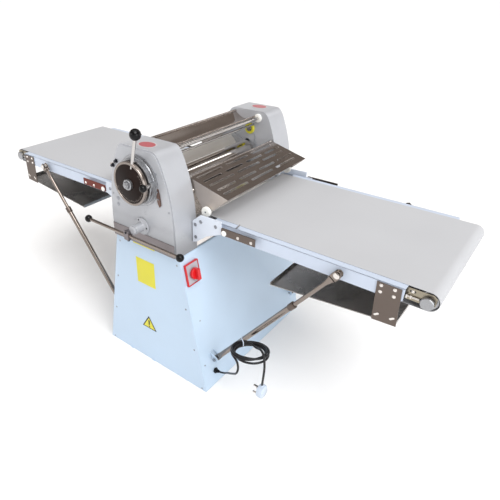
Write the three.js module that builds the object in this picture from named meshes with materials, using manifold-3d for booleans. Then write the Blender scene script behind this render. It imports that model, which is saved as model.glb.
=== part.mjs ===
// Reversible dough sheeter on a floor cabinet: two roller heads, a pair of rollers with a gap dial,
// and two folding conveyor tables held by telescopic struts.
// Millimetres. +X is the conveyor direction, -Y the operator's side, +Z up.
// The origin is on the floor, under the middle of the rollers.

import * as THREE from 'three';
import { mergeVertices } from 'three/addons/utils/BufferGeometryUtils.js';
import Module from 'manifold-3d';

const wasm = await Module();
wasm.setup();

// ---------------------------------------------------------------- driving dimensions

const SHEET = 2;
const GAP = 0.3;

const CABINET = { footHalf: 290.6, neckHalf: 166.6, halfDepth: 380, floorGap: 1, top: 602 };
const PAN = { halfX: 285, halfY: 377.5, lip: 16, bottom: 3 };
const TOP_PLATE = { halfX: 166, z0: 602.3, z1: 605 };

const HEAD = { z0: 605.3, top: 985, foot: 165, inner: 276, rim: 391, wall: 9, innerWall: 8 };
const COVER = { y0: 391.3, y1: 395, inset: 5 };

const ROLLER = { radius: 44, half: 266, lowerZ: 722, upperZ: 811, lift: 37, journal: 12 };
const TIE_RODS = [
  { name: 'upper_tie_rod', x: 51, z: 956, radius: 7 },
  { name: 'lower_tie_rod', x: 29, z: 926, radius: 4.5 },
];
const YOKE = { y0: 270, y1: 275.5, blade: 2 };
const TRAY_SPAN = 275.6;

const DIAL = {
  x: 4, z: 870, radius: 78.5, back: -428, face: -442, shaft: 12,
  rim: 16, recess: 2, hub: 20, boss: 12,
};
const LEVER = { angle: 76, reach: 182, radius: 6.3, ball: 19.5 };
const RING = { inner: 58, flange: 92, flangeDepth: 6, body: 84, out: 29, ear: 10 };
const INDEX = { x: 86, z: 880, y: -455, ball: 13, rod: 4 };
const REVERSE = { x: 4, z: 693, rodY: -453, rodZ: 670, reach: 238, ball: 14.5, shaft: 8, hub: 17 };

const GUARD = {
  hingeX: 128, hingeZ: 873, frontX: 297, frontZ: 831, half: 270, sheet: 2, pin: 4, slot: 11,
};

const TABLE = { driveX: 212, endX: 975, axisZ: 717, roller: 28.7, half: 259, web: 284, journal: 8 };
const BELT = { inner: 29.3, outer: 31 };
const BED = { x0: 246, x1: 915, z0: 743.9, z1: 745.9 };
const END = { x0: 885, plate0: 261.5, plate1: 264.5, drumHalf: 255, cap0: 266, cap1: 277, cap: 19 };
const HINGE = { x: 312, z: 727, pin: 7 };
const STRAP = { y0: 304, y1: 308, x0: 299, x1: 438, half: 14, rise: 4 };
const CATCH = { x0: 494, z0: 580, x1: 915, z1: 622, half: 284.6, sheet: 1.5 };

const STRUT = {
  y: 302, footX: 284, footZ: 133, topX: 728, topZ: 728,
  tube: 10.5, bore: 8.2, tubeStart: 20, tubeEnd: 532, rod: 7.5, rodStart: 200,
};

const CORD = { radius: 4, sides: 8 };
const COIL = {
  x: 491, y: -380, z: 346, inner: 54, outer: 72, halfHeight: 11, chamfer: 4,
  lean: 14, leanAxis: 38.7,
};
const PLUG = { x: 566, y: -406, z: 217 };
const GLAND = { y: -304, z: 61, reach: 24 };
const SWITCH = { y: -332, z: 528, halfY: 36, halfZ: 44 };

const ROUND = 12;
const FINE = 24;

// ---------------------------------------------------------------- materials

const finish = (color, roughness, metalness) =>
  new THREE.MeshStandardMaterial({ color, roughness, metalness });

const PAINT = {
  cabinet: finish(0xc3d8ee, 0.45, 0),
  head: finish(0xb9bcc0, 0.4, 0.3),
  rail: finish(0xdde6f2, 0.45, 0),
  stainless: finish(0x8d8078, 0.3, 1),
  polished: finish(0xb8b0a8, 0.15, 1),
  chrome: finish(0xd8d8d8, 0.08, 1),
  belt: finish(0xe9ebf0, 0.7, 0),
  black: finish(0x15151a, 0.3, 0),
  brown: finish(0x4a3028, 0.4, 0.5),
  red: finish(0xc8242c, 0.4, 0),
  grey: finish(0x7c8086, 0.5, 0.4),
  white: finish(0xf2f2f0, 0.4, 0),
  zinc: finish(0xa7aab0, 0.35, 0.9),
};

// ---------------------------------------------------------------- solids

// A closed geometry as a solid that can be joined and cut.
function solid(geometry) {
  const bare = geometry.clone();
  bare.deleteAttribute('normal');
  bare.deleteAttribute('uv');
  const merged = mergeVertices(bare, 1e-3);
  return new wasm.Manifold(new wasm.Mesh({
    numProp: 3,
    vertProperties: new Float32Array(merged.attributes.position.array),
    triVerts: new Uint32Array(merged.index.array),
  }));
}

// A named mesh of a solid.
function part(name, body, material) {
  const mesh = body.getMesh();
  const geometry = new THREE.BufferGeometry();
  geometry.setAttribute('position', new THREE.BufferAttribute(mesh.vertProperties, 3));
  geometry.setIndex(new THREE.BufferAttribute(mesh.triVerts, 1));
  geometry.computeVertexNormals();
  const node = new THREE.Mesh(geometry, material);
  node.name = name;
  return node;
}

const joined = (...bodies) => bodies.reduce((sum, body) => sum.add(body));

// Block between two limits on each axis, given in either order.
function block([x0, x1], [y0, y1], [z0, z1]) {
  const box = new THREE.BoxGeometry(Math.abs(x1 - x0), Math.abs(y1 - y0), Math.abs(z1 - z0));
  box.translate((x0 + x1) / 2, (y0 + y1) / 2, (z0 + z1) / 2);
  return solid(box);
}

const outline = (points) => new THREE.Shape(points.map(([a, b]) => new THREE.Vector2(a, b)));

// Outline in the XZ plane, given depth along Y.
function sideProfile(shape, [y0, y1], curveSegments = 4) {
  const depth = Math.abs(y1 - y0);
  const plate = new THREE.ExtrudeGeometry(shape, { depth, bevelEnabled: false, curveSegments });
  plate.rotateX(Math.PI / 2);
  plate.translate(0, Math.max(y0, y1), 0);
  return solid(plate);
}

// Round bar between two points.
function bar(from, to, radius, sides = ROUND) {
  const start = new THREE.Vector3(...from);
  const run = new THREE.Vector3(...to).sub(start);
  const cylinder = new THREE.CylinderGeometry(radius, radius, run.length(), sides);
  const turn = new THREE.Quaternion().setFromUnitVectors(
    new THREE.Vector3(0, 1, 0), run.clone().normalize(),
  );
  cylinder.applyQuaternion(turn);
  cylinder.translate(...start.addScaledVector(run, 0.5).toArray());
  return solid(cylinder);
}

// Round bar along Y.
const pinY = (x, z, [y0, y1], radius, sides = ROUND) => bar([x, y0, z], [x, y1, z], radius, sides);

function ball(x, y, z, radius) {
  const sphere = new THREE.SphereGeometry(radius, 12, 8);
  sphere.translate(x, y, z);
  return solid(sphere);
}

// Closed profile of [radius, height] points turned about the Z axis.
function turned(points, sides = FINE) {
  const profile = [...points, points[0]].map(([r, h]) => new THREE.Vector2(r, h));
  const lathe = new THREE.LatheGeometry(profile, sides);
  lathe.rotateX(Math.PI / 2);
  return lathe;
}

// Round-ended slot in the XZ plane.
function slotShape(x, zLow, zHigh, radius) {
  const shape = new THREE.Shape();
  shape.absarc(x, zHigh, radius, 0, Math.PI);
  shape.absarc(x, zLow, radius, Math.PI, 2 * Math.PI);
  return shape;
}

// Tube along a smooth curve through the points.
function tube(points, radius, steps) {
  const section = new THREE.Shape();
  section.absarc(0, 0, radius, 0, 2 * Math.PI);
  const curve = new THREE.CatmullRomCurve3(points.map((p) => new THREE.Vector3(...p)));
  return new THREE.ExtrudeGeometry(section, {
    extrudePath: curve, steps, bevelEnabled: false, curveSegments: CORD.sides / 2,
  });
}

// ---------------------------------------------------------------- cabinet

const SLOPE = (CABINET.footHalf - CABINET.neckHalf) / (CABINET.top - CABINET.floorGap);
const LEAN = Math.atan(SLOPE);
const panelX = (z) => CABINET.footHalf - SLOPE * (z - CABINET.floorGap);

function basePan() {
  const { halfX, halfY, lip, bottom } = PAN;
  const inX = halfX - bottom;
  const inY = halfY - bottom;
  const pan = block([-halfX, halfX], [-halfY, halfY], [0, lip]);
  return pan.subtract(block([-inX, inX], [-inY, inY], [bottom, lip + 1]));
}

function facePanel(yOuter) {
  const { footHalf, neckHalf, floorGap, top } = CABINET;
  const shape = outline([
    [-footHalf, floorGap], [footHalf, floorGap], [neckHalf, top], [-neckHalf, top],
  ]);
  return sideProfile(shape, [yOuter, yOuter - Math.sign(yOuter) * SHEET]);
}

// Lug of a strut bracket: a flat plate with a round end and a pin hole.
function strutLug(y0, y1) {
  const { footX, footZ } = STRUT;
  const round = 14;
  const spread = 25;
  const shape = new THREE.Shape();
  shape.moveTo(panelX(footZ - spread) - 1, footZ - spread);
  shape.absarc(footX, footZ, round, -1.2, 1.4);
  shape.lineTo(panelX(footZ + spread) - 1, footZ + spread);
  return sideProfile(shape, [y0, y1]);
}

// Sloping side panel in right-hand coordinates, with its two strut brackets.
function slopingPanel() {
  const { footHalf, neckHalf, floorGap, top, halfDepth } = CABINET;
  const inset = SHEET + 0.1;
  const half = halfDepth - SHEET - GAP;
  const shape = outline([
    [footHalf - inset, floorGap], [footHalf, floorGap], [neckHalf, top], [neckHalf - inset, top],
  ]);
  let panel = sideProfile(shape, [-half, half]);
  for (const hand of [-1, 1]) {
    for (const [y0, y1] of [[288, 292], [312, 316]]) {
      panel = panel.add(strutLug(hand * y0, hand * y1));
    }
    const bore = pinY(STRUT.footX, STRUT.footZ, [hand * 280, hand * 320], 5.5);
    panel = panel.subtract(bore);
  }
  return panel;
}

function topPlate() {
  const { halfX, z0, z1 } = TOP_PLATE;
  const plate = block([-halfX, halfX], [-CABINET.halfDepth, CABINET.halfDepth], [z0, z1]);
  const chainSlot = block([-45, 45], [-370, -300], [z0 - 1, z1 + 1]);
  return plate.subtract(chainSlot);
}

function driveMotor() {
  const z = 105;
  const foot = block([-60, 60], [-250, -90], [PAN.bottom + GAP, z]);
  const can = pinY(0, z, [-60, -280], 65);
  const shaft = pinY(0, z, [-275, -340], 9);
  const sprocket = pinY(0, z, [-322, -334], 24);
  return joined(foot, can, shaft, sprocket);
}

function cabinet() {
  const group = new THREE.Group();
  const { halfDepth } = CABINET;
  const right = part('right_panel', slopingPanel(), PAINT.cabinet);
  const left = part('left_panel', slopingPanel(), PAINT.cabinet);
  left.rotation.z = Math.PI;
  group.add(
    part('base_frame', basePan(), PAINT.grey),
    part('front_panel', facePanel(-halfDepth), PAINT.cabinet),
    part('rear_panel', facePanel(halfDepth), PAINT.cabinet),
    right,
    left,
    part('top_plate', topPlate(), PAINT.cabinet),
    part('drive_motor', driveMotor(), PAINT.grey),
  );
  return group;
}

// Switch and cord gland in the leaning frame of the right panel: local X points out of the panel.
function onRightPanel(y, z, ...nodes) {
  const group = new THREE.Group();
  group.position.set(panelX(z), y, z);
  group.rotation.y = -LEAN;
  group.add(...nodes);
  return group;
}

function switchGroup() {
  const { halfY, halfZ } = SWITCH;
  const deep = 12;
  const plate = block([GAP, deep], [-halfY, halfY], [-halfZ, halfZ])
    .subtract(bar([GAP - 1, 0, 0], [deep + 1, 0, 0], 5.4));
  const knob = joined(
    bar([4, 0, 0], [deep + 4, 0, 0], 5),
    bar([deep + 2, 0, 0], [deep + 9, 0, 0], 21),
    block([deep + 8, deep + 22], [-5, 5], [-20, 20]),
  );
  return onRightPanel(
    SWITCH.y, SWITCH.z,
    part('switch_plate', plate, PAINT.red),
    part('switch_knob', knob, PAINT.red),
  );
}

function glandGroup() {
  const nut = bar([GAP, 0, 0], [8, 0, 0], 12, 6);
  const dome = bar([7, 0, 0], [GLAND.reach - 3 * GAP, 0, 0], 8);
  return onRightPanel(GLAND.y, GLAND.z, part('cable_gland', nut.add(dome), PAINT.black));
}

// ---------------------------------------------------------------- heads

// Outline of a head seen from the front, drawn in by an inset.
function headShape(inset) {
  const foot = HEAD.foot - inset;
  const top = HEAD.top - inset;
  const half = (sign, shape) => {
    const up = [[foot, 770], [155 - inset, 840], [112 - inset, 942 - inset * 0.3]];
    const over = [[93.9 - inset * 0.7, top], [72 - inset * 0.5, top]];
    if (sign > 0) {
      shape.bezierCurveTo(...up[0], ...up[1], ...up[2]);
      shape.quadraticCurveTo(...over[0], ...over[1]);
    } else {
      shape.quadraticCurveTo(-over[0][0], top, -up[2][0], up[2][1]);
      shape.bezierCurveTo(-up[1][0], up[1][1], -up[0][0], up[0][1], -foot, HEAD.z0 + inset);
    }
  };
  const shape = new THREE.Shape();
  shape.moveTo(-foot, HEAD.z0 + inset);
  shape.lineTo(foot, HEAD.z0 + inset);
  half(1, shape);
  shape.lineTo(-(72 - inset * 0.5), top);
  half(-1, shape);
  return shape;
}

const LOWER_JOURNAL = 14;
const JOURNAL_PLAY = 0.4;

// Casting open towards -Y. Its inner wall carries the roller journals, tie rods and guard pins;
// handed is -1 where the head is turned round to the far side.
function headHousing(handed) {
  const { inner, rim, wall, innerWall } = HEAD;
  const { upperZ, lowerZ, lift, journal } = ROLLER;
  const through = [-inner - innerWall - 1, -inner + 1];
  const cuts = [
    sideProfile(headShape(wall), [-rim - 1, -inner - innerWall]),
    sideProfile(slotShape(0, upperZ, upperZ + lift, journal + 0.6), through),
    pinY(0, lowerZ, through, LOWER_JOURNAL + 0.5),
    ...TIE_RODS.map(({ x, z, radius }) => pinY(handed * x, z, through, radius + JOURNAL_PLAY)),
    pinY(-GUARD.hingeX, GUARD.hingeZ, through, GUARD.pin + 0.5),
    pinY(GUARD.hingeX, GUARD.hingeZ, through, GUARD.pin + 0.5),
  ];
  return cuts.reduce(
    (body, cut) => body.subtract(cut), sideProfile(headShape(0), [-rim, -inner]),
  );
}

function headCover(holes) {
  const plate = sideProfile(headShape(COVER.inset), [-COVER.y1, -COVER.y0]);
  const through = [-COVER.y1 - 1, -COVER.y0 + 1];
  return holes.reduce((body, [x, z, radius]) => body.subtract(pinY(x, z, through, radius)), plate);
}

function heads() {
  const group = new THREE.Group();
  const controls = [
    [DIAL.x, DIAL.z, DIAL.shaft + 0.5],
    [REVERSE.x, REVERSE.z, REVERSE.shaft + 0.5],
  ];
  const near = [
    part('near_head_housing', headHousing(1), PAINT.head),
    part('near_head_cover', headCover(controls), PAINT.head),
  ];
  const far = [
    part('far_head_housing', headHousing(-1), PAINT.head),
    part('far_head_cover', headCover([]), PAINT.head),
  ];
  const turnedRound = new THREE.Group();
  turnedRound.rotation.z = Math.PI;
  turnedRound.add(...far);
  group.add(...near, turnedRound);
  return group;
}

// ---------------------------------------------------------------- between the heads

function roller(z, journal, reach) {
  const { radius, half } = ROLLER;
  return joined(
    pinY(0, z, [-half, half], radius, FINE),
    pinY(0, z, [-reach, reach], journal),
  );
}

function lowerRoller() {
  const { lowerZ } = ROLLER;
  const sprocket = pinY(0, lowerZ, [-298, -306], 38);
  const stub = pinY(0, lowerZ, [-285, -312], LOWER_JOURNAL);
  return joined(roller(lowerZ, LOWER_JOURNAL, 288), stub, sprocket);
}

// Two cheeks that carry the upper roller, joined by its scraper blade.
function rollerYoke() {
  const { y0, y1, blade } = YOKE;
  const z = ROLLER.upperZ;
  const cheek = outline([
    [-97, 862], [-86, 871], [-30, 858], [24, 838],
    [27, z - 14], [14, z - 24], [-14, z - 24], [-52, 818],
  ]);
  const lip = outline([
    [-90, 862], [-87, 864], [-70, 849], [-46.5, 824], [-48, 822], [-71, 845.5],
  ]);
  const bladeBody = sideProfile(lip, [-y0 - blade, y0 + blade]);
  const sides = [-1, 1].map((hand) => sideProfile(cheek, [hand * y0, hand * y1])
    .subtract(pinY(0, z, [hand * (y0 - 1), hand * (y1 + 1)], ROLLER.journal + JOURNAL_PLAY)));
  return joined(bladeBody, ...sides);
}

// Shallow polished trough with rolled edges on top of the rollers' bay.
function flourTray() {
  const wall = 1.5;
  const shape = new THREE.Shape();
  shape.moveTo(-68, 970);
  shape.quadraticCurveTo(-14, 922, 36, 962);
  shape.lineTo(36 + wall, 962 - wall);
  shape.quadraticCurveTo(-14, 922 - 2 * wall, -68 - wall, 970 - wall);
  const span = [-TRAY_SPAN, TRAY_SPAN];
  return joined(
    sideProfile(shape, span, 10),
    pinY(-68, 971, span, 5, 10),
    pinY(37, 962.5, span, 3.5, 10),
  );
}

// Bent sheet from the top plate up to the lower roller, in right-hand coordinates.
function bedPlate() {
  const shape = outline([
    [159, 605.6], [161, 605.6], [161, 742], [48, 757], [48, 755], [159, 740.2],
  ]);
  return sideProfile(shape, [-HEAD.inner + 0.5, HEAD.inner - 0.5]);
}

function rollerBay() {
  const group = new THREE.Group();
  const rods = TIE_RODS.map(({ name, x, z, radius }) =>
    part(name, pinY(x, z, [-283, 283], radius), PAINT.chrome));
  const rightBed = part('right_bed_plate', bedPlate(), PAINT.head);
  const leftBed = part('left_bed_plate', bedPlate(), PAINT.head);
  leftBed.rotation.z = Math.PI;
  group.add(
    ...rods,
    part('upper_roller', roller(ROLLER.upperZ, ROLLER.journal, 283), PAINT.chrome),
    part('lower_roller', lowerRoller(), PAINT.chrome),
    part('roller_yoke', rollerYoke(), PAINT.polished),
    part('flour_tray', flourTray(), PAINT.polished),
    rightBed,
    leftBed,
  );
  return group;
}

// ---------------------------------------------------------------- controls on the near head

// Places a lathe of [radius, distance out of the cover] points on the near cover.
function onCover(points, x, z, sides = FINE) {
  const lathe = turned(points, sides);
  lathe.rotateX(Math.PI / 2);
  lathe.translate(x, -COVER.y1, z);
  return solid(lathe);
}

// Stepped ring behind the dial, with an ear for the index pin.
function indexRing() {
  const { inner, flange, flangeDepth, body, out, ear } = RING;
  const ring = onCover([
    [inner, GAP], [flange, GAP], [flange, flangeDepth], [body, flangeDepth], [body, out], [inner, out],
  ], DIAL.x, DIAL.z);
  const earSpan = [-COVER.y1 - out, -COVER.y1 - GAP];
  const through = [-COVER.y1 - out - 1, -COVER.y1 + 1];
  return ring.add(pinY(INDEX.x, INDEX.z, earSpan, ear))
    .subtract(pinY(INDEX.x, INDEX.z, through, INDEX.rod + 0.5));
}

// Dial with a raised rim and hub on its face, and a bore in the rim for the lever.
function dialWheel() {
  const { x, z, radius, back, face, shaft, rim, recess, hub, boss } = DIAL;
  const hollow = pinY(x, z, [face - 1, face + recess], radius - rim, FINE)
    .subtract(pinY(x, z, [face - 2, face + recess + 1], hub));
  return joined(
    pinY(x, z, [back, face], radius, FINE),
    pinY(x, z, [back - 1, -HEAD.rim + 4], shaft),
    pinY(x, z, [face, face - 11], boss),
  ).subtract(hollow).subtract(leverBar(radius - 22, radius + 10, LEVER.radius + 0.7));
}

// Point on the lever's axis at a radius of the dial.
function leverPoint(r) {
  const angle = THREE.MathUtils.degToRad(LEVER.angle);
  return [DIAL.x + r * Math.cos(angle), (DIAL.back + DIAL.face) / 2, DIAL.z + r * Math.sin(angle)];
}

const leverBar = (r0, r1, radius) => bar(leverPoint(r0), leverPoint(r1), radius, 10);

function adjustLever() {
  const { reach, radius, ball: grip } = LEVER;
  return ball(...leverPoint(reach), grip).add(leverBar(DIAL.radius - 21, reach - 8, radius));
}

function indexKnob() {
  const { x, z, y, ball: radius, rod } = INDEX;
  return ball(x, y, z, radius).add(pinY(x, z, [y, -COVER.y1 - 6], rod));
}

function directionBushing() {
  const { x, z, shaft } = REVERSE;
  const bore = shaft + 0.4;
  return onCover([[bore, GAP], [29, GAP], [29, 6], [17, 8], [17, 44], [bore, 44]], x, z);
}

// Hub on the cover's bushing, with a clamp at its side that holds the long rod.
function directionLever() {
  const { x, z, rodY, rodZ, reach, ball: radius, shaft, hub } = REVERSE;
  const hubBack = -COVER.y1 - 44 - 2 * GAP;
  return joined(
    pinY(x, z, [-HEAD.rim + 4, hubBack - 1], shaft),
    pinY(x, z, [hubBack, rodY + 4], hub),
    block([x - 32, x - 9], [rodY - 9, hubBack], [rodZ - 24, rodZ + 20]),
    bar([-reach, rodY, rodZ], [reach, rodY, rodZ], 6, 10),
    ball(-reach, rodY, rodZ, radius),
    ball(reach, rodY, rodZ, radius),
  );
}

function controls() {
  const group = new THREE.Group();
  group.add(
    part('index_ring', indexRing(), PAINT.zinc),
    part('dial_wheel', dialWheel(), PAINT.brown),
    part('adjust_lever', adjustLever(), PAINT.black),
    part('index_knob', indexKnob(), PAINT.black),
    part('direction_bushing', directionBushing(), PAINT.head),
    part('direction_lever', directionLever(), PAINT.chrome),
  );
  return group;
}

// ---------------------------------------------------------------- guard over the rollers

const GUARD_PITCH = Math.atan2(GUARD.hingeZ - GUARD.frontZ, GUARD.frontX - GUARD.hingeX);
const GUARD_LENGTH = Math.hypot(GUARD.hingeZ - GUARD.frontZ, GUARD.frontX - GUARD.hingeX);

// Rows of slots across the guard: distance from the hinge edge, slot length and first slot's start.
const GUARD_ROWS = [
  { at: 20, length: 145, start: -252 },
  { at: 50, length: 107, start: -250 },
  { at: 79, length: 145, start: -252 },
  { at: 114, length: 107, start: -250 },
  { at: 143, length: 145, start: -252 },
];

function guardSlot(at, y, length) {
  const radius = GUARD.slot / 2;
  const path = new THREE.Path();
  path.absarc(at, y + radius, radius, Math.PI, 2 * Math.PI);
  path.absarc(at, y + length - radius, radius, 0, Math.PI);
  return path;
}

// Slotted lid with a cheek at each end, in right-hand coordinates.
function guardBody() {
  const { hingeX, hingeZ, half, sheet, pin } = GUARD;
  const lid = outline([[0, -half], [GUARD_LENGTH, -half], [GUARD_LENGTH, half], [0, half]]);
  for (const { at, length, start } of GUARD_ROWS) {
    const pitch = length + 24;
    for (let y = start; y + length <= half - 10; y += pitch) {
      lid.holes.push(guardSlot(at, y, length));
    }
  }
  const plate = new THREE.ExtrudeGeometry(lid, {
    depth: sheet, bevelEnabled: false, curveSegments: 2,
  });
  plate.rotateY(GUARD_PITCH);
  plate.translate(hingeX, 0, hingeZ - sheet / 2);
  const cheek = outline([[126, 873], [137, 850], [185, 771], [239, 780], [297, 832]]);
  const ends = [-1, 1].flatMap((hand) => [
    sideProfile(cheek, [hand * (half - sheet), hand * half]),
    pinY(hingeX, hingeZ, [hand * (half - 12), hand * (HEAD.inner + 6)], pin, 10),
  ]);
  return joined(solid(plate), ...ends);
}

// ---------------------------------------------------------------- conveyor tables
// All in right-hand coordinates.

// Bracket at the outer end that carries the end roller, with a slot for the belt's tension.
function endBracket(hand) {
  const { endX, axisZ, journal } = TABLE;
  const radius = journal + 0.5;
  const plate = outline([
    [END.x0, BED.z0 + 1], [END.x0, 712], [915, 706], [990, 706],
    [996, 712], [996, 736], [986, BED.z0 + 1],
  ]);
  const tension = new THREE.Shape();
  tension.absarc(endX + 6, axisZ, radius, -Math.PI / 2, Math.PI / 2);
  tension.absarc(endX - 14, axisZ, radius, Math.PI / 2, 1.5 * Math.PI);
  return sideProfile(plate, [hand * END.plate0, hand * END.plate1])
    .subtract(sideProfile(tension, [hand * (END.plate0 - 1), hand * (END.plate1 + 1)]));
}

function tableFrame() {
  const { driveX, axisZ, web, journal } = TABLE;
  const inner = web - SHEET;
  const rail = outline([
    [196, 704], [200, 700], [905, 700], [915, 706], [915, BED.z1], [204, BED.z1], [196, 738],
  ]);
  const bed = block([BED.x0, BED.x1], [-web, web], [BED.z0, BED.z1]);
  const crossbars = [400, 800].map((x) => block([x, x + 30], [-inner - 1, inner + 1], [702, 706]));
  const sides = [-1, 1].flatMap((hand) => {
    const bore = pinY(driveX, axisZ, [hand * (inner - 1), hand * (web + 1)], journal + 0.5);
    return [sideProfile(rail, [hand * inner, hand * web]).subtract(bore), endBracket(hand)];
  });
  return joined(bed, ...crossbars, ...sides);
}

function beltLoop() {
  const { driveX, endX, axisZ, half } = TABLE;
  const loop = (target, radius) => {
    target.absarc(endX, axisZ, radius, -Math.PI / 2, Math.PI / 2);
    target.absarc(driveX, axisZ, radius, Math.PI / 2, 1.5 * Math.PI);
    target.closePath();
    return target;
  };
  const shape = loop(new THREE.Shape(), BELT.outer);
  shape.holes.push(loop(new THREE.Path(), BELT.inner));
  return sideProfile(shape, [-half, half], 6);
}

function driveRoller() {
  const { driveX, axisZ, roller: radius, half, journal } = TABLE;
  return joined(
    pinY(driveX, axisZ, [-half - 3, half + 3], radius),
    pinY(driveX, axisZ, [-292, 292], journal, 10),
  );
}

function endRoller() {
  const { endX, axisZ, roller: radius, journal } = TABLE;
  const { drumHalf, cap0, cap1, cap } = END;
  return joined(
    pinY(endX, axisZ, [-drumHalf, drumHalf], radius),
    pinY(endX, axisZ, [-cap0 - 1, cap0 + 1], journal, 10),
    pinY(endX, axisZ, [-cap1, -cap0], cap),
    pinY(endX, axisZ, [cap0, cap1], cap),
  );
}

// Tray under the outer end: a sloping sheet with two hems, hung from an end plate on each rail.
function catchTray() {
  const { x0, z0, x1, z1, half, sheet } = CATCH;
  const hem = 12;
  const section = outline([
    [x0, z0 + hem], [x0, z0], [x1, z1], [x1, z1 + hem], [x1 - sheet, z1 + hem],
    [x1 - sheet, z1 + sheet], [x0 + sheet, z0 + sheet], [x0 + sheet, z0 + hem],
  ]);
  const plate = outline([[837, 743.5], [908, 742.5], [916, 616], [844, 612]]);
  const flange = outline([[846, 615.2], [914, 622], [914, 634], [846, 627.2]]);
  const plateSpan = [half + 0.4, half + 0.5 + SHEET];
  const ends = [-1, 1].map((hand) => sideProfile(plate, plateSpan.map((y) => hand * y)));
  const flanges = [-1, 1].map((hand) => sideProfile(
    flange, [hand * (half - sheet), hand * (half + 1)],
  ));
  return joined(sideProfile(section, [-half, half]), ...ends, ...flanges);
}

// Plate on the head that carries the table's hinge pin.
function hingePlate(hand) {
  const plate = outline([
    [167, 642], [190, 652], [232, 686], [296, 714], [324, 716], [324, 742], [296, 742], [296, 763],
    [204, 761], [167, 729],
  ]);
  const flange = block([165.8, 169.8], [hand * 277, hand * 299.5], [646, 725]);
  const body = sideProfile(plate, [hand * 298.5, hand * 303.5]).add(flange);
  return body.subtract(pinY(HINGE.x, HINGE.z, [hand * 290, hand * 310], HINGE.pin + 0.4));
}

// Strap that joins the rail to the hinge pin, with its spacer and the pin.
function hingeStrap(hand) {
  const { y0, y1, x0, x1, half } = STRAP;
  const low = HINGE.z - half + STRAP.rise;
  const high = HINGE.z + half + STRAP.rise;
  const shape = outline([
    [x0 + 3, low], [x1, low], [x1, high], [x0 + 3, high], [x0, high - 3], [x0, low + 3],
  ]);
  return joined(
    sideProfile(shape, [hand * y0, hand * y1]),
    block([385, 425], [hand * (TABLE.web + 0.4), hand * (y0 + 1)], [716, 732]),
    pinY(HINGE.x, HINGE.z, [hand * 290, hand * 311], HINGE.pin),
  );
}

// ---------------------------------------------------------------- struts

const STRUT_TILT = Math.atan2(STRUT.topX - STRUT.footX, STRUT.topZ - STRUT.footZ);
const STRUT_LENGTH = Math.hypot(STRUT.topX - STRUT.footX, STRUT.topZ - STRUT.footZ);

// Both strut halves are drawn along local Z from the foot pin.
function strutTube(hand) {
  const { tube: radius, bore, tubeStart, tubeEnd } = STRUT;
  return joined(
    bar([0, 0, tubeStart], [0, 0, tubeEnd], radius, 12),
    bar([0, 0, tubeEnd - 26], [0, 0, tubeEnd - 1], radius + 2, 12),
    block([-9, 9], [-8, 8], [0, tubeStart + 25]),
    pinY(0, 0, [-8, 8], 13),
    pinY(0, 0, [-hand * 15, hand * 17], 5, 10),
  ).subtract(bar([0, 0, tubeStart + 50], [0, 0, tubeEnd + 1], bore, 12));
}

function strutRod(hand) {
  const { rod, rodStart } = STRUT;
  return joined(
    bar([0, 0, rodStart], [0, 0, STRUT_LENGTH - 4], rod, 12),
    pinY(0, STRUT_LENGTH, [-6, 6], 13),
    pinY(0, STRUT_LENGTH, [-hand * 16.8, hand * 14], 6, 10),
  );
}

function strut(name, hand) {
  const group = new THREE.Group();
  group.position.set(STRUT.footX, hand * STRUT.y, STRUT.footZ);
  group.rotation.y = STRUT_TILT;
  group.add(
    part(`${name}_tube`, strutTube(hand), PAINT.stainless),
    part(`${name}_rod`, strutRod(hand), PAINT.chrome),
  );
  return group;
}

// Everything on one side of the rollers. The left side is the right side turned half round.
function conveyorSide(side, turn) {
  const group = new THREE.Group();
  group.rotation.z = turn;
  group.add(
    part(`${side}_guard`, guardBody(), PAINT.stainless),
    part(`${side}_table_frame`, tableFrame(), PAINT.rail),
    part(`${side}_conveyor_belt`, beltLoop(), PAINT.belt),
    part(`${side}_drive_roller`, driveRoller(), PAINT.chrome),
    part(`${side}_end_roller`, endRoller(), PAINT.chrome),
    part(`${side}_catch_tray`, catchTray(), PAINT.stainless),
  );
  for (const hand of [-1, 1]) {
    const end = hand * Math.cos(turn) < 0 ? 'near' : 'far';
    group.add(
      part(`${side}_hinge_plate_${end}`, hingePlate(hand), PAINT.rail),
      part(`${side}_strap_${end}`, hingeStrap(hand), PAINT.stainless),
      strut(`${side}_strut_${end}`, hand),
    );
  }
  return group;
}

// ---------------------------------------------------------------- mains cord

const glandTip = [
  panelX(GLAND.z) + GLAND.reach * Math.cos(LEAN), GLAND.y, GLAND.z + GLAND.reach * Math.sin(LEAN),
];

// From the gland up to the underside of the coil that is tied to the near right strut.
const LEAD_ROUTE = [
  glandTip,
  [311, -304.2, 68],
  [322, -308, 75],
  [340, -318, 92],
  [371, -338, 126],
  [405, -358, 168],
  [436, -380, 215],
  [459, -404, 257],
  [477, -424, 294],
  [487, -436, 317],
  [492.6, -442.4, 332],
  [494.3, -444, 340],
  [493.5, -443, 346.4],
];

// From the coil's outer side down to the plug.
const TAIL_ROUTE = [
  [556.6, -412, 362.2],
  [560.5, -413.9, 362.8],
  [564.4, -415.4, 360],
  [566.2, -415.8, 352],
  [566.4, -414.6, 334],
  [566.2, -411.4, 300],
  [566, -407.8, 264],
  [PLUG.x, PLUG.y, PLUG.z + 26],
];

function cordCoil() {
  const { inner, outer, halfHeight, chamfer } = COIL;
  return turned([
    [inner, -halfHeight + chamfer], [inner + chamfer, -halfHeight], [outer - chamfer, -halfHeight],
    [outer, -halfHeight + chamfer], [outer, halfHeight - chamfer], [outer - chamfer, halfHeight],
    [inner + chamfer, halfHeight], [inner, halfHeight - chamfer],
  ], 24);
}

function mainsPlug() {
  const body = block([-12, 12], [-24, 24], [-26, 25.6]);
  const earth = block([-34, -11], [-4, 4], [8, 12]);
  const live = block([-30, -11], [-14, -8], [-12, -8]);
  const neutral = block([-30, -11], [8, 14], [-12, -8]);
  return joined(body, earth, live, neutral);
}

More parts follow.
